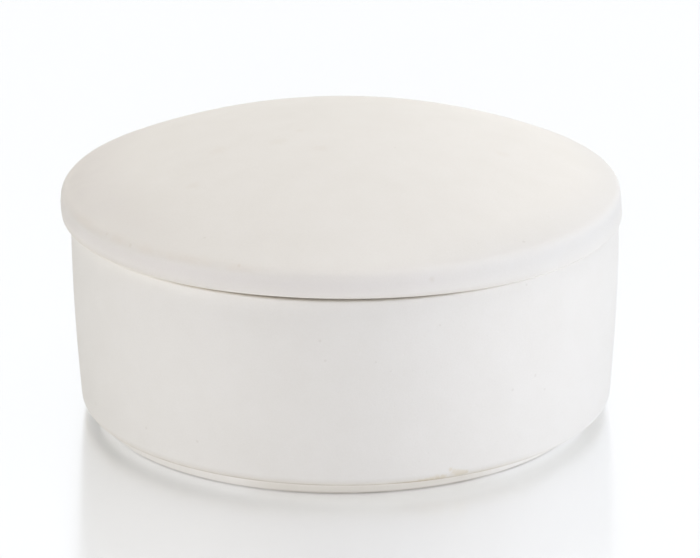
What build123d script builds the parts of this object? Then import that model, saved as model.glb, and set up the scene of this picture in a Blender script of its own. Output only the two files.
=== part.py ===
"""Round lidded box of cast white clay: a bowl on a foot ring, and a low domed lid with a locating flange."""

from build123d import *
from math import radians, sqrt, tan
import os

# Bowl, in millimetres
rim_height = 51.65          # from the table to the rim
rim_radius = 68.4           # outside of the wall at the rim
base_radius = 66.7          # outside of the wall at its foot, before the corner is rounded
wall_swell = 0.56           # how far the wall bows out between those two
wall_thickness = 5.0
base_corner = 2.0           # rounding where the wall turns under
floor_thickness = 5.5
inner_corner = 7.0          # rounding between the floor and the wall, inside
rim_rounding = 0.6          # both edges of the rim

# Foot ring under the floor
foot_height = 3.7           # from the table to the underside beside the ring
foot_inset = 5.4            # how far the ring stands in under the wall, at the table
foot_flare = 0.6            # how far the ring's outer face spreads towards its root
foot_width = 5.0
foot_recess = 2.6           # depth of the hollow inside the ring
foot_rounding = 0.5         # both edges that meet the table
foot_root = 0.4             # hollow where the ring meets the underside, both sides

# Lid
lid_overhang = 1.65         # how far the lid stands out past the rim
seat_width = 3.6            # flat ring beside the flange that rests on the rim
edge_lift = 0.95            # how far the lower edge stays above the rim, as a shadow line
edge_height = 6.2           # from the lower edge to the crease where the crown begins
edge_lean = 5.0             # degrees that the edge leans in towards the crease
edge_rounding = 0.6         # lower edge of the lid
crease_rounding = 2.6       # where the edge turns over into the crown
crown_rise = 15.4           # from the crease to the top
lid_thickness = 5.5         # clay under the crown
hollow_corner = 4.0         # rounding between the hollow of the crown and the flange

# Locating flange under the lid
flange_depth = 5.55         # how far it drops into the mouth of the bowl
flange_thickness = 4.0
flange_clearance = 1.2      # between the flange and the mouth, all round when centred
flange_rounding = 1.2       # both edges at the tip
flange_root = 0.5           # hollow where the flange meets the seat
side_gap = 0.35             # what is left of the clearance where the loose lid has slid sideways

# Sizes that follow
foot_radius = base_radius - foot_inset
floor_height = foot_recess + floor_thickness
mouth_radius = rim_radius - wall_thickness
lid_radius = rim_radius + lid_overhang
crease_radius = lid_radius - edge_height * tan(radians(edge_lean))
edge_bottom = rim_height + edge_lift
crease_height = edge_bottom + edge_height
lid_top = crease_height + crown_rise
crown_radius = (crease_radius**2 + crown_rise**2) / (2 * crown_rise)
flange_radius = mouth_radius - flange_clearance
seat_radius = flange_radius + seat_width
hollow_radius = flange_radius - flange_thickness
hollow_crown_radius = crown_radius - lid_thickness
hollow_height = lid_top - crown_radius + sqrt(hollow_crown_radius**2 - hollow_radius**2)
lid_slip = flange_clearance - side_gap

os.makedirs("parts", exist_ok=True)


def bowed(bottom, top):
    """Middle point of a wall line that swells between its two ends."""
    return ((bottom[0] + top[0]) / 2 + wall_swell, (bottom[1] + top[1]) / 2)


def soften(profile, points, radius):
    """Round the corners of a profile that lie at the given points."""
    fillet([profile.vertices().sort_by_distance(point)[0] for point in points], radius)


# Bowl: one turned profile, with the foot ring under its floor
ring_outer = (foot_radius, 0)
ring_inner = (foot_radius - foot_width, 0)
ring_root = (foot_radius + foot_flare, foot_height)
recess_edge = (foot_radius - foot_width, foot_recess)
wall_base = (base_radius, foot_height)
wall_rim = (rim_radius, rim_height)
mouth_rim = (mouth_radius, rim_height)
mouth_floor = (base_radius - wall_thickness, floor_height)

with BuildPart() as bowl:
    with BuildSketch(Plane.XZ) as bowl_profile:
        with BuildLine():
            Polyline((0, foot_recess), recess_edge, ring_inner, ring_outer, ring_root, wall_base)
            ThreePointArc(wall_base, bowed(wall_base, wall_rim), wall_rim)
            Line(wall_rim, mouth_rim)
            ThreePointArc(mouth_rim, bowed(mouth_floor, mouth_rim), mouth_floor)
            Polyline(mouth_floor, (0, floor_height), (0, foot_recess))
        make_face()
        soften(bowl_profile, [wall_rim, mouth_rim], rim_rounding)
        soften(bowl_profile, [mouth_floor], inner_corner)
        soften(bowl_profile, [wall_base], base_corner)
        soften(bowl_profile, [ring_outer, ring_inner], foot_rounding)
        soften(bowl_profile, [ring_root, recess_edge], foot_root)
    revolve(axis=Axis.Z)

bowl.part.label = "bowl"
export_step(bowl.part, "parts/bowl.step")

# Lid: one turned profile about its own axis, which the loose fit lets stand a little to one side
lid_axis = Axis((-lid_slip, 0, 0), (0, 0, 1))
lid_plane = Plane(origin=lid_axis.position, x_dir=(1, 0, 0), z_dir=(0, -1, 0))
crown_top = (0, lid_top)
crease = (crease_radius, crease_height)
lower_edge = (lid_radius, edge_bottom)
seat_edge = (seat_radius, rim_height)
flange_seat = (flange_radius, rim_height)
flange_outer = (flange_radius, rim_height - flange_depth)
flange_inner = (hollow_radius, rim_height - flange_depth)
hollow_edge = (hollow_radius, hollow_height)
hollow_top = (0, lid_top - lid_thickness)

with BuildPart() as lid:
    with BuildSketch(lid_plane) as lid_profile:
        with BuildLine():
            TangentArc(crown_top, crease, tangent=(1, 0))
            Polyline(crease, lower_edge, seat_edge, flange_seat, flange_outer, flange_inner, hollow_edge)
            TangentArc(hollow_top, hollow_edge, tangent=(1, 0))
            Line(hollow_top, crown_top)
        make_face()
        soften(lid_profile, [crease], crease_rounding)
        soften(lid_profile, [lower_edge], edge_rounding)
        soften(lid_profile, [flange_seat], flange_root)
        soften(lid_profile, [flange_outer, flange_inner], flange_rounding)
        soften(lid_profile, [hollow_edge], hollow_corner)
    revolve(axis=lid_axis)

lid.part.label = "lid"
export_step(lid.part, "parts/lid.step")
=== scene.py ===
import math

import bpy
from mathutils import Matrix, Vector
from mathutils.bvhtree import BVHTree


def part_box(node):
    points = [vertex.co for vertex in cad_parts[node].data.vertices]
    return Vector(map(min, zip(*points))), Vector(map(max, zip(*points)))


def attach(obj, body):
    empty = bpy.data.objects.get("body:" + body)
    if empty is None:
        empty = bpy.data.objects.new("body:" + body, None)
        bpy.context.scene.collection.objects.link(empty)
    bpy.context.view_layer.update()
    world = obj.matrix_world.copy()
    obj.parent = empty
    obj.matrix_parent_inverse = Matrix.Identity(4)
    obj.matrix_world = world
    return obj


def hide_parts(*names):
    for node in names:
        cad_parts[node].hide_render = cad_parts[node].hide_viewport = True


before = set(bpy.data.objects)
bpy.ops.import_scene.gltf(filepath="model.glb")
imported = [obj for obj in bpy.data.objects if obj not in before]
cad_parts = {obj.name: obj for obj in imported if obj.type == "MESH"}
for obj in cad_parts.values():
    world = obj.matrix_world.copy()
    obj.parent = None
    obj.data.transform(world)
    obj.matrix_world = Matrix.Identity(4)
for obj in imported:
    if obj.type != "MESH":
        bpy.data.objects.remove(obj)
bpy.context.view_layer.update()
mm = 0.001
tiny = 1e-6   # in mm, counts as nothing
print("frame loaded:", sorted(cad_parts))


# keeps a share between 0 and 1
def clamp(share):
    return min(1, max(0, share))


# a side of an outline between two corners, swelling by bow to the right of its way
def sidePoints(start, end, bow, step):
    chord = end - start
    count = max(2, math.ceil(chord.length / step))
    if abs(bow) < tiny:
        return [start.lerp(end, i / count) for i in range(count + 1)]
    side = Vector((chord.y, -chord.x)).normalized()
    ballRadius = (chord.length ** 2 / 4 + bow ** 2) / (2 * abs(bow))
    halfAngle = math.asin(chord.length / 2 / ballRadius)
    centre = (start + end) / 2 + side * (bow - math.copysign(ballRadius, bow))
    points = []
    for i in range(count + 1):
        a = halfAngle * (2 * i / count - 1)
        along = chord.normalized() * math.sin(a) * ballRadius
        points.append(centre + along + side * math.copysign(ballRadius * math.cos(a), bow))
    return points


# point and direction at a distance along a line of points
def walkAlong(points, distance):
    for a, b in zip(points, points[1:]):
        length = (b - a).length
        if distance <= length:
            return a.lerp(b, distance / length), (b - a).normalized()
        distance -= length
    return points[-1], (points[-1] - points[-2]).normalized()


# an outline from the axis and back to it: each corner is (radius, height, rounding, bow to the next), in mm
# points on a side keep a share of the step, spare, clear of the roundings
def roundedOutline(corners, step, roundSteps=7, spare=0.2):
    spots = [Vector(c[:2]) for c in corners]
    sides = [sidePoints(a, b, c[3], step) for a, b, c in zip(spots, spots[1:], corners)]
    outline = [spots[0]]
    skipped = 0.0
    for i, side in enumerate(sides):
        last = i == len(sides) - 1
        rounding = 0.0 if last else corners[i + 1][2]
        total = sum((b - a).length for a, b in zip(side, side[1:]))
        cut = 0.0
        if rounding:
            turn = (side[-1] - side[-2]).angle(sides[i + 1][1] - sides[i + 1][0])
            cut = rounding * math.tan(turn / 2)
        run = 0.0
        for a, b in zip(side, side[1:]):
            run += (b - a).length
            if skipped + step * spare < run < total - cut - step * spare:
                outline.append(b)
        if last:
            outline.append(spots[-1])
        elif rounding:
            enter, enterWay = walkAlong(side, total - cut)
            leave, leaveWay = walkAlong(sides[i + 1], cut)
            reach = rounding * math.tan(turn / 4) * 4 / 3
            p1 = enter + enterWay * reach
            p2 = leave - leaveWay * reach
            for k in range(roundSteps + 1):
                t = k / roundSteps
                outline.append(enter * (1 - t) ** 3 + p1 * 3 * t * (1 - t) ** 2
                               + p2 * 3 * t * t * (1 - t) + leave * t ** 3)
        else:
            outline.append(spots[i + 1])
        skipped = cut
    return outline


# turns an outline about an upright axis at axisX, every point moved by shape(radius, turn, height)
def turnedPiece(name, outline, segments, axisX, shape):
    verts = []
    faces = []
    rings = []
    for p in outline:
        ring = []
        for j in range(1 if p.x < tiny else segments):
            turn = 2 * math.pi * j / segments
            radius, height = shape(p.x, turn, p.y)
            ring.append(len(verts))
            verts.append(((axisX + radius * math.cos(turn)) * mm, radius * math.sin(turn) * mm, height * mm))
        rings.append(ring)
    for a, b in zip(rings, rings[1:]):
        for j in range(segments):
            k = (j + 1) % segments
            quad = [a[j % len(a)], a[k % len(a)], b[k % len(b)], b[j % len(b)]]
            faces.append(list(dict.fromkeys(quad)))   # three points at the axis
    mesh = bpy.data.meshes.new(name)
    mesh.from_pydata(verts, [], faces)
    mesh.validate()
    mesh.shade_smooth()
    piece = bpy.data.objects.new(name, mesh)
    bpy.context.scene.collection.objects.link(piece)
    return piece


# how far out of round a piece is at a turn, from 0 to 1: two swells and three swells, each with its phase
def outOfRound(turn, twoPhase, threePhase):
    return (2 + math.sin(2 * turn + twoPhase) + math.sin(3 * turn + threePhase)) / 4


# how far a ring that stands up on its left drops at a turn, by its tilt in degrees
def tiltDrop(radius, turn, tilt):
    return radius * math.cos(turn) * math.tan(math.radians(tilt))


# bowl: sizes in mm
bowlSizes = {
    "rimHeight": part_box("bowl")[1].z / mm,
    "rimRadius": 68.4, "baseRadius": 66.7, "wallSwell": 0.56, "wallThickness": 5.0,
    "baseCorner": 2.0, "floorThickness": 5.5, "innerCorner": 7.0, "rimRounding": 0.6,
    "footHeight": 3.7, "footInset": 5.4, "footFlare": 0.6, "footWidth": 5.0, "footRecess": 2.6,
    "footRounding": 0.5, "footRoot": 0.4,
    "footSlip": 0.8,      # the ring sits this far to the left of the wall's axis
    "slipRise": 0.5,      # the slip dies out over this height above the ring
    "slipEdge": 1.0,      # it starts this far in from the wall
    "slipRun": 3.0,       # and is full after this much more
    "unevenness": 0.09,   # how far the wall falls short of a true circle
    "twoPhase": 0.7, "threePhase": -1.1,
    "twist": 30.0,        # height over which the three swells' phase grows by one radian
    "calmHeight": 10.0,   # up to here the wall grows more uneven
    "calmDepth": 4.0,     # further in than this from the mouth, all is true
    "rimTilt": 0.2,       # degrees that the rim stands up on its left
    "rimDip": 0.35,       # how far the rim sags at the front
    "dipNarrow": 6,       # the higher, the shorter the sag
    "dipInside": 0.3,     # share of the wall's thickness that stays level at the mouth
    "segments": 320, "step": 1.6,
}


def makeBowl(s):
    ringOuter = s["baseRadius"] - s["footInset"]
    ringInner = ringOuter - s["footWidth"]
    floorTop = s["footRecess"] + s["floorThickness"]
    mouth = s["rimRadius"] - s["wallThickness"]
    corners = [
        (0, s["footRecess"], 0, 0),
        (ringInner, s["footRecess"], s["footRoot"], 0),
        (ringInner, 0, s["footRounding"], 0),
        (ringOuter, 0, s["footRounding"], 0),
        (ringOuter + s["footFlare"], s["footHeight"], s["footRoot"], 0),
        (s["baseRadius"], s["footHeight"], s["baseCorner"], s["wallSwell"]),
        (s["rimRadius"], s["rimHeight"], s["rimRounding"], 0),
        (mouth, s["rimHeight"], s["rimRounding"], -s["wallSwell"]),
        (s["baseRadius"] - s["wallThickness"], floorTop, s["innerCorner"], 0),
        (0, floorTop, 0, 0),
    ]

    def shape(radius, turn, height):
        under = clamp((s["footHeight"] + s["slipRise"] - height) / s["slipRise"])
        inward = clamp((s["baseRadius"] - s["slipEdge"] - radius) / s["slipRun"])
        slip = s["footSlip"] * under * inward * min(1, radius / ringInner)
        short = 0
        if radius > mouth - s["calmDepth"]:
            wave = outOfRound(turn, s["twoPhase"], s["threePhase"] + height / s["twist"])
            short = s["unevenness"] * wave * min(1, height / s["calmHeight"])
        drop = tiltDrop(radius, turn, s["rimTilt"])
        if radius > mouth + s["dipInside"] * s["wallThickness"]:
            drop += s["rimDip"] * max(0, -math.sin(turn)) ** s["dipNarrow"]
        return radius - slip * math.cos(turn) - short, height - drop * (height / s["rimHeight"]) ** 2

    return turnedPiece("bowl_clay", roundedOutline(corners, s["step"]), s["segments"], 0, shape)


bowlPiece = makeBowl(bowlSizes)
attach(bowlPiece, "bowl")
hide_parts("bowl")
print("bowl turned:", len(bowlPiece.data.vertices), "points")


# lid: sizes in mm
lidLow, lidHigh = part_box("lid")
lidSizes = {
    "axisX": (lidLow.x + lidHigh.x) / 2 / mm,
    "top": lidHigh.z / mm, "seat": bowlSizes["rimHeight"], "flangeTip": lidLow.z / mm,
    "edgeRadius": 70.05, "edgeLift": 0.95, "edgeHeight": 6.2, "edgeLean": 5.0, "edgeRounding": 0.5,
    "creaseRounding": 2.6, "thickness": 5.5, "hollowCorner": 4.0,
    "flangeRadius": 62.2, "flangeThickness": 4.0, "flangeRounding": 1.2, "flangeRoot": 0.5,
    "seatWidth": 3.6,
    "seatTilt": bowlSizes["rimTilt"],
    "edgeInset": 6.0,     # the edge's faults below start this far out from the hollow
    "edgeTilt": 0.25,     # degrees more that its lower edge stands up on the left
    "edgeSag": 0.5,       # how far the lower edge hangs down away from the front
    "openTurn": -94,      # degrees round from +X where the gap under the edge is widest
    "openNarrow": 8,      # the higher, the shorter that gap
    "edgeSwell": 0.4,     # how far the edge swells out halfway up, on its left
    "edgeTuck": 0.3,      # how far its lower edge is drawn in there
    "unevenness": 0.09,   # how far the crown falls short of a true dome
    "twoPhase": 2.1,
    "twist": 25.0,        # radius over which the three swells' phase grows by one radian
    "calmRadius": 30.0,   # out to here the crown grows more uneven
    "leastSink": 0.01,    # the whole crown lies this much lower
    "segments": 320, "step": 1.6,
}


def makeLid(s):
    creaseRadius = s["edgeRadius"] - s["edgeHeight"] * math.tan(math.radians(s["edgeLean"]))
    edgeBottom = s["seat"] + s["edgeLift"]
    creaseHeight = edgeBottom + s["edgeHeight"]
    rise = s["top"] - creaseHeight
    crownBall = (creaseRadius ** 2 + rise ** 2) / (2 * rise)
    hollowRadius = s["flangeRadius"] - s["flangeThickness"]
    hollowBall = crownBall - s["thickness"]
    hollowHeight = s["top"] - crownBall + math.sqrt(hollowBall ** 2 - hollowRadius ** 2)
    hollowTop = s["top"] - s["thickness"]

    # how far an arc from the axis stands off its chord
    def bowOf(ball, radius):
        return ball * (1 - math.cos(math.asin(radius / ball) / 2))

    corners = [
        (0, hollowTop, 0, -bowOf(hollowBall, hollowRadius)),
        (hollowRadius, hollowHeight, s["hollowCorner"], 0),
        (hollowRadius, s["flangeTip"], s["flangeRounding"], 0),
        (s["flangeRadius"], s["flangeTip"], s["flangeRounding"], 0),
        (s["flangeRadius"], s["seat"], s["flangeRoot"], 0),
        (s["flangeRadius"] + s["seatWidth"], s["seat"], 0, 0),
        (s["edgeRadius"], edgeBottom, s["edgeRounding"], 0),
        (creaseRadius, creaseHeight, s["creaseRounding"], bowOf(crownBall, creaseRadius)),
        (0, s["top"], 0, 0),
    ]

    def shape(radius, turn, height):
        outside = clamp((height - s["seat"]) / s["edgeLift"])
        wave = outOfRound(turn, s["twoPhase"], radius / s["twist"])
        sink = s["unevenness"] * wave * min(1, radius / s["calmRadius"]) + s["leastSink"]
        swell = sag = 0
        if radius > hollowRadius + s["edgeInset"]:
            up = clamp((height - edgeBottom) / s["edgeHeight"])
            left = max(0, -math.cos(turn)) ** 2
            swell = left * (1 - up) * (4 * s["edgeSwell"] * up - s["edgeTuck"])
            gap = max(0, math.cos(turn - math.radians(s["openTurn"]))) ** s["openNarrow"]
            sag = (s["edgeSag"] * (1 - gap) + tiltDrop(radius, turn, s["edgeTilt"])) * (1 - up)
        low = tiltDrop(radius, turn, s["seatTilt"]) + (sink + sag) * outside
        return radius + (swell - sink * radius / s["edgeRadius"]) * outside, height - low

    return turnedPiece("lid_clay", roundedOutline(corners, s["step"]), s["segments"], s["axisX"], shape)


lidPiece = makeLid(lidSizes)
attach(lidPiece, "lid")
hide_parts("lid")
print("lid turned:", len(lidPiece.data.vertices), "points")


# adds a shader node, with its inputs linked where a socket is given and set where a value is
def addNode(tree, kind, inputs, **settings):
    node = tree.nodes.new("ShaderNode" + kind)
    for key, value in settings.items():
        setattr(node, key, value)
    for key, value in inputs.items():
        if isinstance(value, bpy.types.NodeSocket):
            tree.links.new(value, node.inputs[key])
        else:
            node.inputs[key].default_value = value
    return node


# level direction at a turn in degrees, from the front to the right
def outward(turn):
    return Vector((math.sin(math.radians(turn)), -math.cos(math.radians(turn)), 0))


farOff = 0.2   # in metres, clear of the whole box


# spot on the side of a piece, by its turn and its height in mm
def sideSpot(hull, turn, height):
    return hull.ray_cast(outward(turn) * farOff + Vector((0, 0, height * mm)), -outward(turn))[0]


# spot on top of a piece, by its turn and its radius in mm
def topSpot(hull, turn, radius):
    return hull.ray_cast(outward(turn) * radius * mm + Vector((0, 0, farOff)), Vector((0, 0, -1)))[0]


# what both clays have in common; each noise has its scale and its detail
bisque = {
    "clouds": (24.0, 3), "patches": (130.0, 2), "grain": (2400.0, 2),
    "ragged": (600.0, 3), "pores": (1500.0, 1),
    "cloudShare": 0.42, "patchShare": 0.28, "grainShare": 0.3,   # of the clay's tone
    "toneEnds": (0.36, 0.64),    # fully dull, fully pale
    "breakEnds": (0.35, 0.65),   # patches where a ring of painted shade is thinnest and thickest
    "poreEnds": (0.62, 0.8),     # no pore, deepest pore
    "roughest": 0.86, "smoothest": 0.74, "sheen": 0.1,
    "relief": 0.22, "reliefDepth": 0.12, "patchRelief": 1.5,
    "fleckScale": 70.0, "fleckSize": 0.022, "fleckCore": 0.4,
    "faces": {"frontLeft": -43, "front": 8},   # turns, in degrees, along which the rings of painted shade can be limited
}


# matte white bisque: faint clouds and grain in the clay, then rings of painted shade and single marks over it
def makeBisque(name, piece, c):
    clay = bpy.data.materials.new(name)
    clay.use_nodes = True
    tree = clay.node_tree
    shader = tree.nodes["Principled BSDF"]
    place = addNode(tree, "TexCoord", {}).outputs["Object"]
    axes = addNode(tree, "SeparateXYZ", {0: place}).outputs
    mesh = piece.data
    hull = BVHTree.FromPolygons([v.co for v in mesh.vertices], [p.vertices for p in mesh.polygons])

    def maths(operation, a, b=0):
        return addNode(tree, "Math", {0: a, 1: b}, operation=operation).outputs[0]

    def vectors(operation, a, b, output="Value"):
        return addNode(tree, "VectorMath", {0: a, 1: b}, operation=operation).outputs[output]

    def noise(kind):
        scale, detail = c[kind]
        return addNode(tree, "TexNoise", {"Vector": place, "Scale": scale, "Detail": detail}).outputs["Fac"]

    # 0 at the value none, rising softly to 1 at the value full
    def rise(value, none, full):
        return addNode(tree, "MapRange", {"Value": value, "From Min": none, "From Max": full},
                       interpolation_type="SMOOTHSTEP").outputs["Result"]

    # the colour sockets of a mix are 6 and 7, and 2 on its way out; it darkens the clay by a real mark's
    # colour or by a ring of painted shade
    def tint(colour, amount, darkening):
        return addNode(tree, "Mix", {0: amount, 6: colour, 7: (*darkening, 1)},
                       data_type="RGBA", blend_type="MULTIPLY").outputs[2]

    clouds = noise("clouds")
    patches = noise("patches")
    grain = noise("grain")
    tone = maths("MULTIPLY", clouds, c["cloudShare"])
    tone = maths("ADD", tone, maths("MULTIPLY", patches, c["patchShare"]))
    tone = maths("ADD", tone, maths("MULTIPLY", grain, c["grainShare"]))
    ramp = addNode(tree, "ValToRGB", {"Fac": tone})
    for end, position, shade in zip(ramp.color_ramp.elements, c["toneEnds"], (c["dull"], c["pale"])):
        end.position = position
        end.color = (*shade, 1)
    colour = ramp.outputs["Color"]

    # rings of painted shade at a height, limited along some ways and broken up along their length
    level = vectors("MULTIPLY", place, (1, 1, 0), "Vector")
    ways = {"X": axes["X"], "Y": axes["Y"], "out": vectors("DISTANCE", level, (0, 0, 0))}
    for face, turn in c["faces"].items():
        ways[face] = vectors("DOT_PRODUCT", place, outward(turn))
    breaks = rise(patches, *c["breakEnds"])
    for ring in c["painted_shade"]:
        off = maths("ABSOLUTE", maths("SUBTRACT", axes["Z"], ring["height"] * mm))
        amount = rise(off, ring["reach"] * mm, 0.0)
        for way, none, full in ring["limits"]:
            amount = maths("MULTIPLY", amount, rise(ways[way], none * mm, full * mm))
        uneven = addNode(tree, "MapRange", {"Value": breaks, "To Min": ring["least"], "To Max": ring["most"]})
        colour = tint(colour, maths("MULTIPLY", amount, uneven.outputs["Result"]), ring["colour"])

    # single marks, with ragged outlines
    ragged = maths("SUBTRACT", noise("ragged"), 0.5)
    for kind in c["marks"].values():
        edge = maths("MULTIPLY", ragged, kind["ragged"] * mm)
        total = 0
        for turn, reach, size in kind["spots"]:
            away = vectors("DISTANCE", place, kind["find"](hull, turn, reach))
            spot = rise(maths("ADD", away, edge), size * mm, size * kind["core"] * mm)
            total = maths("MAXIMUM", total, spot)
        colour = tint(colour, maths("MULTIPLY", total, kind["strength"]), kind["colour"])

    # a few dark grains fired into the clay, anywhere
    cells = addNode(tree, "TexVoronoi", {"Vector": place, "Scale": c["fleckScale"]}).outputs
    lot = addNode(tree, "SeparateColor", {0: cells["Color"]}).outputs[0]
    chosen = rise(lot, c["fleckRarity"], 1.0)
    near = rise(cells["Distance"], c["fleckSize"], c["fleckSize"] * c["fleckCore"])
    colour = tint(colour, maths("MULTIPLY", chosen, near), c["fleckColour"])
    tree.links.new(colour, shader.inputs["Base Color"])

    dullest, palest = c["toneEnds"]
    rough = addNode(tree, "MapRange", {"Value": tone, "From Min": dullest, "From Max": palest,
                                       "To Min": c["roughest"], "To Max": c["smoothest"]})
    tree.links.new(rough.outputs["Result"], shader.inputs["Roughness"])
    shader.inputs["Specular IOR Level"].default_value = c["sheen"]
    pores = rise(noise("pores"), *c["poreEnds"])
    relief = maths("SUBTRACT", maths("ADD", grain, maths("MULTIPLY", patches, c["patchRelief"])), pores)
    bump = addNode(tree, "Bump", {"Height": relief, "Strength": c["relief"],
                                  "Distance": c["reliefDepth"] * mm})
    tree.links.new(bump.outputs["Normal"], shader.inputs["Normal"])
    mesh.materials.append(clay)


# clay of the bowl; painted shade darkens the wall's lower edge, the foot and its contact line, and the rim
# under the lid's edge
# sizes in mm, limits as (way, where it is none, where it is full), spots as (turn, height or radius, size)
bowlClay = {
    **bisque,
    "dull": (0.824, 0.803, 0.762), "pale": (0.852, 0.833, 0.798),
    "fleckRarity": 0.78, "fleckColour": (0.62, 0.57, 0.5),
    "painted_shade": [
        # painted shade on the base corner's lower part, fading out at the far left and on the right
        {"height": 3.9, "reach": 2.3, "limits": [("out", 65.0, 65.7), ("X", 56, 30), ("X", -74, -56)],
         "least": 0.9, "most": 1.0, "colour": (0.79, 0.765, 0.725)},
        # painted shade on the underside, on the left
        {"height": 3.7, "reach": 0.3, "limits": [("X", 5, -45), ("X", -74, -56)],
         "least": 0.9, "most": 1.0, "colour": (0.6, 0.59, 0.57)},
        # painted shade line where the base corner meets the underside
        {"height": 4.05, "reach": 0.5, "limits": [("out", 65.2, 65.7), ("X", 56, 30)],
         "least": 0.5, "most": 1.0, "colour": (0.8, 0.77, 0.72)},
        # painted brownish shade line at the wall's lower edge, right of the front
        {"height": 4.1, "reach": 0.4, "limits": [("X", -6, 18), ("X", 50, 34)],
         "least": 0.2, "most": 1.0, "colour": (0.82, 0.74, 0.62)},
        # painted shade on the foot's face at the front
        {"height": 1.4, "reach": 2.2, "limits": [("front", 51.5, 57.5)],
         "least": 0.8, "most": 1.0, "colour": (0.88, 0.865, 0.83)},
        # painted contact shadow along the foot's lowest edge, strongest at the front
        {"height": 0.0, "reach": 0.9, "limits": [("front", 52, 59)],
         "least": 0.9, "most": 1.0, "colour": (0.75, 0.72, 0.7)},
        {"height": 0.0, "reach": 0.5, "limits": [("Y", -24, -46)],
         "least": 0.6, "most": 1.0, "colour": (0.62, 0.59, 0.57)},
        # painted shade in the gap under the lid's edge, at the front
        {"height": 51.8, "reach": 0.8, "limits": [("Y", -42, -66), ("out", 65.6, 66.6)],
         "least": 0.7, "most": 0.9, "colour": (0.58, 0.5, 0.42)},
        # painted shade on the rim under the lid's edge, on the left
        {"height": 51.8, "reach": 0.9, "limits": [("X", -20, -50)],
         "least": 0.8, "most": 1.0, "colour": (0.9, 0.885, 0.86)},
    ],
    "marks": {
        "specks": {
            "colour": (0.6, 0.56, 0.5), "strength": 0.16, "ragged": 0.5, "core": 0.3, "find": sideSpot,
            "spots": [(-4, 36.5, 0.5), (-5, 41.5, 0.45), (-32, 12, 0.5), (-67, 10, 0.6), (-46, 11.5, 0.5),
                      (36, 24, 0.45), (45, 21.5, 0.4), (42, 26, 0.5), (9, 33.5, 0.4), (6, 36, 0.4),
                      (19, 44, 0.45), (39, 50, 0.45)],
        },
        "stains": {
            "colour": (0.82, 0.73, 0.55), "strength": 0.42, "ragged": 1.5, "core": 0.2, "find": sideSpot,
            "spots": [(21.9, 6.3, 1.0), (22.6, 5.7, 1.3), (23.3, 5.3, 1.4), (24, 5.2, 1.2), (24.8, 5.1, 1.1),
                      (25.5, 5.1, 0.9), (20.2, 4.8, 1.2), (19.1, 4.6, 1.3), (18, 4.5, 1.3), (16.8, 4.3, 1.2),
                      (15.5, 4.2, 1.1)],
        },
    },
}
makeBisque("bisque_bowl", bowlPiece, bowlClay)

# clay of the lid; painted shade dulls its edge band, its crease and the crown's left, and darkens along its
# lower edge
lidClay = {
    **bisque,
    "dull": (0.838, 0.812, 0.76), "pale": (0.866, 0.842, 0.796),
    "fleckRarity": 0.8, "fleckColour": (0.64, 0.59, 0.52),
    "painted_shade": [
        # painted shade in the crease, on the front left
        {"height": 58.6, "reach": 1.6, "limits": [("frontLeft", 59, 67)],
         "least": 0.1, "most": 0.6, "colour": (0.965, 0.935, 0.9)},
        # painted shade on the edge band, fading out to the right
        {"height": 55.6, "reach": 4.2, "limits": [("X", 50, 5)],
         "least": 0.9, "most": 1.0, "colour": (0.958, 0.95, 0.968)},
        # painted cool shade over the crease and edge band on the right
        {"height": 56.4, "reach": 8.0, "limits": [("X", 5, 50)],
         "least": 0.9, "most": 1.0, "colour": (0.92, 0.93, 0.952)},
        # painted shade on the crown's left
        {"height": 62.0, "reach": 5.0, "limits": [("X", -30, -70)],
         "least": 0.7, "most": 1.0, "colour": (0.925, 0.915, 0.92)},
        # painted shade at the crease on the far left
        {"height": 60.3, "reach": 2.4, "limits": [("X", -58, -70)],
         "least": 0.9, "most": 1.0, "colour": (0.94, 0.935, 0.93)},
        # painted shade along the lower edge, fading out to the right
        {"height": 52.1, "reach": 1.3, "limits": [("X", 60, 5)],
         "least": 0.9, "most": 1.0, "colour": (0.88, 0.865, 0.84)},
        # painted shade along the lower edge on the left
        {"height": 52.8, "reach": 1.7, "limits": [("X", -15, -60)],
         "least": 0.9, "most": 1.0, "colour": (0.91, 0.9, 0.885)},
    ],
    "marks": {
        "specks": {
            "colour": (0.62, 0.58, 0.52), "strength": 0.16, "ragged": 0.5, "core": 0.3, "find": topSpot,
            "spots": [(-32, 62.5, 0.5), (40, 66, 0.45), (90, 65, 0.45), (37, 20.5, 0.4)],
        },
        "scuffs": {
            "colour": (0.8, 0.74, 0.66), "strength": 0.2, "ragged": 1.2, "core": 0.2, "find": sideSpot,
            "spots": [(-55, 58.8, 0.8), (-47, 58.5, 0.7), (-21, 59, 0.6), (17, 56, 1.0)],
        },
        # faint darker patches on the crown, most of them on its left
        "crownPatches": {
            "colour": (0.93, 0.9, 0.86), "strength": 0.24, "ragged": 4.0, "core": 0.1, "find": topSpot,
            "spots": [(-54, 20, 3.2), (-65, 12.5, 2.0), (-18, 18.5, 2.8), (-68, 33.5, 4.0), (-51, 47, 2.6),
                      (77, 40, 3.0)],
        },
    },
}
makeBisque("bisque_lid", lidPiece, lidClay)
print("bisque made:", ", ".join(m.name for m in bpy.data.materials if m.name.startswith("bisque")))


# white to the camera and in mirrors; straight onto the clay it throws no light
def makeSurround():
    world = bpy.data.worlds.new("studio_white")
    bpy.context.scene.world = world
    world.use_nodes = True
    tree = world.node_tree
    white = tree.nodes["Background"]
    white.inputs["Color"].default_value = (1, 1, 1, 1)
    rays = addNode(tree, "LightPath", {}).outputs
    seen = rays["Is Camera Ray"]
    for ray in ("Is Glossy Ray", "Is Transmission Ray"):
        seen = addNode(tree, "Math", {0: seen, 1: rays[ray]}, operation="MAXIMUM").outputs[0]
    tree.links.new(seen, white.inputs["Strength"])


makeSurround()

# glossy white table; sizes in metres
table = {
    "size": 14.0, "colour": (0.25, 0.25, 0.25),
    "mirrorShare": 0.86, "mirrorColour": (0.977, 0.988, 1.0),
    "haze": 0.26, "stretch": 0.6,   # how far the mirror blurs, and how much more of it one way
    "glow": 0.167, "glowColour": (0.965, 0.982, 1.0),
}


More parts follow.
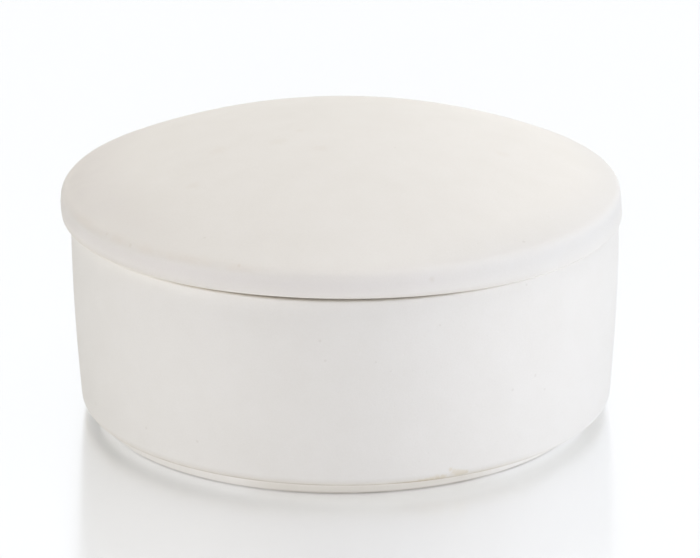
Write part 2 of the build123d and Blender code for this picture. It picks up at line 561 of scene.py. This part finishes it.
def makeTable(s):
    half = s["size"] / 2
    corners = [(-half, -half, 0), (half, -half, 0), (half, half, 0), (-half, half, 0)]
    mesh = bpy.data.meshes.new("floor")
    mesh.from_pydata(corners, [], [(0, 1, 2, 3)])
    floor = bpy.data.objects.new("floor", mesh)
    bpy.context.scene.collection.objects.link(floor)
    paint = bpy.data.materials.new("white_table")
    paint.use_nodes = True
    tree = paint.node_tree
    tree.nodes.remove(tree.nodes["Principled BSDF"])
    dull = addNode(tree, "BsdfDiffuse", {"Color": (*s["colour"], 1)})
    across = addNode(tree, "CombineXYZ", {"X": 1})
    mirror = addNode(tree, "BsdfGlossy", {"Color": (*s["mirrorColour"], 1), "Roughness": s["haze"],
                                          "Anisotropy": s["stretch"], "Tangent": across.outputs[0]})
    surface = addNode(tree, "MixShader", {"Fac": s["mirrorShare"], 1: dull.outputs[0], 2: mirror.outputs[0]})
    glow = addNode(tree, "Emission", {"Color": (*s["glowColour"], 1), "Strength": s["glow"]})
    lit = addNode(tree, "AddShader", {0: surface.outputs[0], 1: glow.outputs[0]})
    tree.links.new(lit.outputs[0], tree.nodes["Material Output"].inputs["Surface"])
    mesh.materials.append(paint)


makeTable(table)

# soft boxes, in metres, all turned to one point
boxAim = Vector((0, 0, 0.04))
softBoxes = {
    "right_strip": {"place": (1.4, -0.2, 0.3), "size": 0.6, "watts": 7.77, "colour": (0.867, 0.908, 1.0)},
    "left_strip": {"place": (-1.4, -0.3, 0.2), "size": 0.4, "watts": 4.87, "colour": (1.0, 0.965, 0.916)},
    "top_box": {"place": (0.25, 0.0, 1.38), "size": 1.0, "watts": 14.19, "colour": (1.0, 0.988, 0.987)},
    "back_box": {"place": (0.0, 1.3, 0.9), "size": 1.0, "watts": 8.46, "colour": (1.0, 0.989, 0.979)},
    "front_strip": {"place": (0.0, -1.6, 0.3), "size": 0.6, "watts": 5.71, "colour": (0.983, 0.956, 1.0)},
}


def makeSoftBox(name, s):
    lamp = bpy.data.lights.new(name, "AREA")
    lamp.shape = "SQUARE"
    lamp.size = s["size"]
    lamp.energy = s["watts"]
    lamp.color = s["colour"]
    box = bpy.data.objects.new(name, lamp)
    bpy.context.scene.collection.objects.link(box)
    box.location = s["place"]
    box.rotation_euler = (boxAim - box.location).to_track_quat("-Z", "Y").to_euler()
    box.visible_camera = False
    box.visible_glossy = name.endswith("strip")   # the table would mirror the large boxes to the camera


for name, sizes in softBoxes.items():
    makeSoftBox(name, sizes)
print("studio lit:", ", ".join(softBoxes))

# camera, at the photograph's height and distance; lens and sensor in mm, the rest in metres and degrees
cameraView = {
    "distance": 1.0, "elevation": 19.13, "roll": -0.29, "aim": (0.00116, 0, 0.0332),
    "lens": 204.6, "sensor": 36, "farthest": 100,
}


def makeCamera(s):
    elevation = math.radians(s["elevation"])
    back = Vector((0, -math.cos(elevation), math.sin(elevation)))
    lens = bpy.data.cameras.new("camera")
    lens.lens = s["lens"]
    lens.sensor_width = s["sensor"]
    lens.clip_end = s["farthest"]
    camera = bpy.data.objects.new("camera", lens)
    bpy.context.scene.collection.objects.link(camera)
    camera.matrix_world = (Matrix.Translation(Vector(s["aim"]) + back * s["distance"])
                           @ (-back).to_track_quat("-Z", "Y").to_matrix().to_4x4()
                           @ Matrix.Rotation(math.radians(s["roll"]), 4, "Z"))
    bpy.context.scene.camera = camera


makeCamera(cameraView)
bpy.context.scene.view_settings.view_transform = "Standard"
print("camera set")
